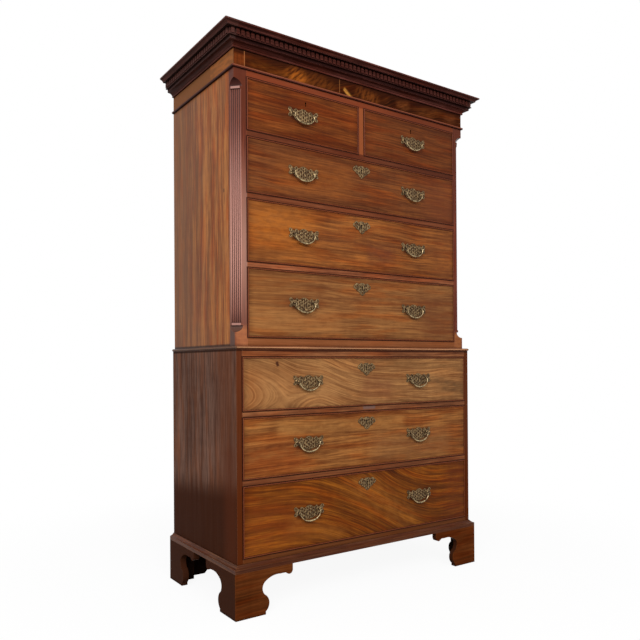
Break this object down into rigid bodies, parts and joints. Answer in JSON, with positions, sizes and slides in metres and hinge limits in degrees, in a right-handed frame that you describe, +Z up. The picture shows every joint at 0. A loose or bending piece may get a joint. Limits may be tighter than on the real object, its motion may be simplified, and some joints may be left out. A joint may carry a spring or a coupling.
{
  "type": "chest on chest",
  "caption": "Mahogany chest on chest with short and long drawers, canted fluted corners, dentil cornice, bracket feet and pierced brass bail handles.",
  "frame": {"origin": "middle of the whole chest's footprint, on the floor", "axes": "+Z up, -Y towards the front with the drawers, +X to the right of someone facing the front"},
  "size_m": [1.152, 0.546, 1.891],
  "materials": {
    "carcase_mahogany": "satin",
    "front_mahogany": "satin",
    "drawer_front_mahogany": "satin",
    "frieze_mahogany": "satin",
    "cornice_mahogany": "satin",
    "oak": "matte",
    "brass": "satin",
    "steel": "satin"
  },
  "bodies": {
    "carcase": {"lower_case_sides": "carcase_mahogany", "lower_case_boards": "oak", "lower_case_back": "oak", "lower_case_rails": "front_mahogany", "base_moulding": "carcase_mahogany", "bracket_feet": "carcase_mahogany", "waist_moulding": "carcase_mahogany", "upper_case_sides": "carcase_mahogany", "upper_case_boards": "oak", "upper_case_back": "oak", "upper_case_rails": "front_mahogany", "fluted_corners": "front_mahogany", "frieze": "frieze_mahogany", "cornice": "cornice_mahogany"},
    "lower_bottom_drawer": {"lower_bottom_front": "drawer_front_mahogany", "lower_bottom_box": "oak", "lower_bottom_brasses": "brass"},
    "lower_bottom_bail_left_body": {"lower_bottom_bail_left": "brass"},
    "lower_bottom_bail_right_body": {"lower_bottom_bail_right": "brass"},
    "lower_bottom_bolt_body": {"lower_bottom_bolt": "steel"},
    "lower_middle_drawer": {"lower_middle_front": "drawer_front_mahogany", "lower_middle_box": "oak", "lower_middle_brasses": "brass"},
    "lower_middle_bail_left_body": {"lower_middle_bail_left": "brass"},
    "lower_middle_bail_right_body": {"lower_middle_bail_right": "brass"},
    "lower_middle_bolt_body": {"lower_middle_bolt": "steel"},
    "lower_top_drawer": {"lower_top_front": "drawer_front_mahogany", "lower_top_box": "oak", "lower_top_brasses": "brass"},
    "lower_top_bail_left_body": {"lower_top_bail_left": "brass"},
    "lower_top_bail_right_body": {"lower_top_bail_right": "brass"},
    "lower_top_bolt_body": {"lower_top_bolt": "steel"},
    "upper_bottom_drawer": {"upper_bottom_front": "drawer_front_mahogany", "upper_bottom_box": "oak", "upper_bottom_brasses": "brass"},
    "upper_bottom_bail_left_body": {"upper_bottom_bail_left": "brass"},
    "upper_bottom_bail_right_body": {"upper_bottom_bail_right": "brass"},
    "upper_bottom_bolt_body": {"upper_bottom_bolt": "steel"},
    "upper_middle_drawer": {"upper_middle_front": "drawer_front_mahogany", "upper_middle_box": "oak", "upper_middle_brasses": "brass"},
    "upper_middle_bail_left_body": {"upper_middle_bail_left": "brass"},
    "upper_middle_bail_right_body": {"upper_middle_bail_right": "brass"},
    "upper_middle_bolt_body": {"upper_middle_bolt": "steel"},
    "upper_top_drawer": {"upper_top_front": "drawer_front_mahogany", "upper_top_box": "oak", "upper_top_brasses": "brass"},
    "upper_top_bail_left_body": {"upper_top_bail_left": "brass"},
    "upper_top_bail_right_body": {"upper_top_bail_right": "brass"},
    "upper_top_bolt_body": {"upper_top_bolt": "steel"},
    "short_left_drawer": {"short_left_front": "drawer_front_mahogany", "short_left_box": "oak", "short_left_brasses": "brass"},
    "short_left_bail_body": {"short_left_bail": "brass"},
    "short_left_bolt_body": {"short_left_bolt": "steel"},
    "short_right_drawer": {"short_right_front": "drawer_front_mahogany", "short_right_box": "oak", "short_right_brasses": "brass"},
    "short_right_bail_body": {"short_right_bail": "brass"},
    "short_right_bolt_body": {"short_right_bolt": "steel"}
  },
  "joints": [
    {"name": "lower_bottom_slide", "type": "slide", "parent": "carcase", "child": "lower_bottom_drawer", "axis": [0, -1, 0], "range_m": [0, 0.36]},
    {"name": "lower_bottom_bail_left_swing", "type": "hinge", "parent": "lower_bottom_drawer", "child": "lower_bottom_bail_left_body", "pos_m": [-0.254, -0.2526, 0.308], "axis": [-1, 0, 0], "range_deg": [-8, 165]},
    {"name": "lower_bottom_bail_right_swing", "type": "hinge", "parent": "lower_bottom_drawer", "child": "lower_bottom_bail_right_body", "pos_m": [0.254, -0.2526, 0.308], "axis": [-1, 0, 0], "range_deg": [-8, 165]},
    {"name": "lower_middle_slide", "type": "slide", "parent": "carcase", "child": "lower_middle_drawer", "axis": [0, -1, 0], "range_m": [0, 0.36]},
    {"name": "lower_middle_bail_left_swing", "type": "hinge", "parent": "lower_middle_drawer", "child": "lower_middle_bail_left_body", "pos_m": [-0.254, -0.2526, 0.543], "axis": [-1, 0, 0], "range_deg": [-8, 165]},
    {"name": "lower_middle_bail_right_swing", "type": "hinge", "parent": "lower_middle_drawer", "child": "lower_middle_bail_right_body", "pos_m": [0.254, -0.2526, 0.543], "axis": [-1, 0, 0], "range_deg": [-8, 165]},
    {"name": "lower_top_slide", "type": "slide", "parent": "carcase", "child": "lower_top_drawer", "axis": [0, -1, 0], "range_m": [0, 0.36]},
    {"name": "lower_top_bail_left_swing", "type": "hinge", "parent": "lower_top_drawer", "child": "lower_top_bail_left_body", "pos_m": [-0.254, -0.2526, 0.7505], "axis": [-1, 0, 0], "range_deg": [-8, 165]},
    {"name": "lower_top_bail_right_swing", "type": "hinge", "parent": "lower_top_drawer", "child": "lower_top_bail_right_body", "pos_m": [0.254, -0.2526, 0.7505], "axis": [-1, 0, 0], "range_deg": [-8, 165]},
    {"name": "upper_bottom_slide", "type": "slide", "parent": "carcase", "child": "upper_bottom_drawer", "axis": [0, -1, 0], "range_m": [0, 0.34]},
    {"name": "upper_bottom_bail_left_swing", "type": "hinge", "parent": "upper_bottom_drawer", "child": "upper_bottom_bail_left_body", "pos_m": [-0.254, -0.2306, 1.016], "axis": [-1, 0, 0], "range_deg": [-8, 165]},
    {"name": "upper_bottom_bail_right_swing", "type": "hinge", "parent": "upper_bottom_drawer", "child": "upper_bottom_bail_right_body", "pos_m": [0.254, -0.2306, 1.016], "axis": [-1, 0, 0], "range_deg": [-8, 165]},
    {"name": "upper_middle_slide", "type": "slide", "parent": "carcase", "child": "upper_middle_drawer", "axis": [0, -1, 0], "range_m": [0, 0.34]},
    {"name": "upper_middle_bail_left_swing", "type": "hinge", "parent": "upper_middle_drawer", "child": "upper_middle_bail_left_body", "pos_m": [-0.254, -0.2306, 1.2525], "axis": [-1, 0, 0], "range_deg": [-8, 165]},
    {"name": "upper_middle_bail_right_swing", "type": "hinge", "parent": "upper_middle_drawer", "child": "upper_middle_bail_right_body", "pos_m": [0.254, -0.2306, 1.2525], "axis": [-1, 0, 0], "range_deg": [-8, 165]},
    {"name": "upper_top_slide", "type": "slide", "parent": "carcase", "child": "upper_top_drawer", "axis": [0, -1, 0], "range_m": [0, 0.34]},
    {"name": "upper_top_bail_left_swing", "type": "hinge", "parent": "upper_top_drawer", "child": "upper_top_bail_left_body", "pos_m": [-0.254, -0.2306, 1.4665], "axis": [-1, 0, 0], "range_deg": [-8, 165]},
    {"name": "upper_top_bail_right_swing", "type": "hinge", "parent": "upper_top_drawer", "child": "upper_top_bail_right_body", "pos_m": [0.254, -0.2306, 1.4665], "axis": [-1, 0, 0], "range_deg": [-8, 165]},
    {"name": "short_left_slide", "type": "slide", "parent": "carcase", "child": "short_left_drawer", "axis": [0, -1, 0], "range_m": [0, 0.34]},
    {"name": "short_left_bail_swing", "type": "hinge", "parent": "short_left_drawer", "child": "short_left_bail_body", "pos_m": [-0.254, -0.2306, 1.664], "axis": [-1, 0, 0], "range_deg": [-8, 165]},
    {"name": "short_right_slide", "type": "slide", "parent": "carcase", "child": "short_right_drawer", "axis": [0, -1, 0], "range_m": [0, 0.34]},
    {"name": "short_right_bail_swing", "type": "hinge", "parent": "short_right_drawer", "child": "short_right_bail_body", "pos_m": [0.254, -0.2306, 1.664], "axis": [-1, 0, 0], "range_deg": [-8, 165]},
    {"name": "lower_bottom_bolt_throw", "type": "slide", "parent": "lower_bottom_drawer", "child": "lower_bottom_bolt_body", "axis": [0, 0, 1], "range_m": [0, 0.008]},
    {"name": "lower_middle_bolt_throw", "type": "slide", "parent": "lower_middle_drawer", "child": "lower_middle_bolt_body", "axis": [0, 0, 1], "range_m": [0, 0.008]},
    {"name": "lower_top_bolt_throw", "type": "slide", "parent": "lower_top_drawer", "child": "lower_top_bolt_body", "axis": [0, 0, 1], "range_m": [0, 0.008]},
    {"name": "upper_bottom_bolt_throw", "type": "slide", "parent": "upper_bottom_drawer", "child": "upper_bottom_bolt_body", "axis": [0, 0, 1], "range_m": [0, 0.008]},
    {"name": "upper_middle_bolt_throw", "type": "slide", "parent": "upper_middle_drawer", "child": "upper_middle_bolt_body", "axis": [0, 0, 1], "range_m": [0, 0.008]},
    {"name": "upper_top_bolt_throw", "type": "slide", "parent": "upper_top_drawer", "child": "upper_top_bolt_body", "axis": [0, 0, 1], "range_m": [0, 0.008]},
    {"name": "short_left_bolt_throw", "type": "slide", "parent": "short_left_drawer", "child": "short_left_bolt_body", "axis": [0, 0, 1], "range_m": [0, 0.008]},
    {"name": "short_right_bolt_throw", "type": "slide", "parent": "short_right_drawer", "child": "short_right_bolt_body", "axis": [0, 0, 1], "range_m": [0, 0.008]}
  ]
}
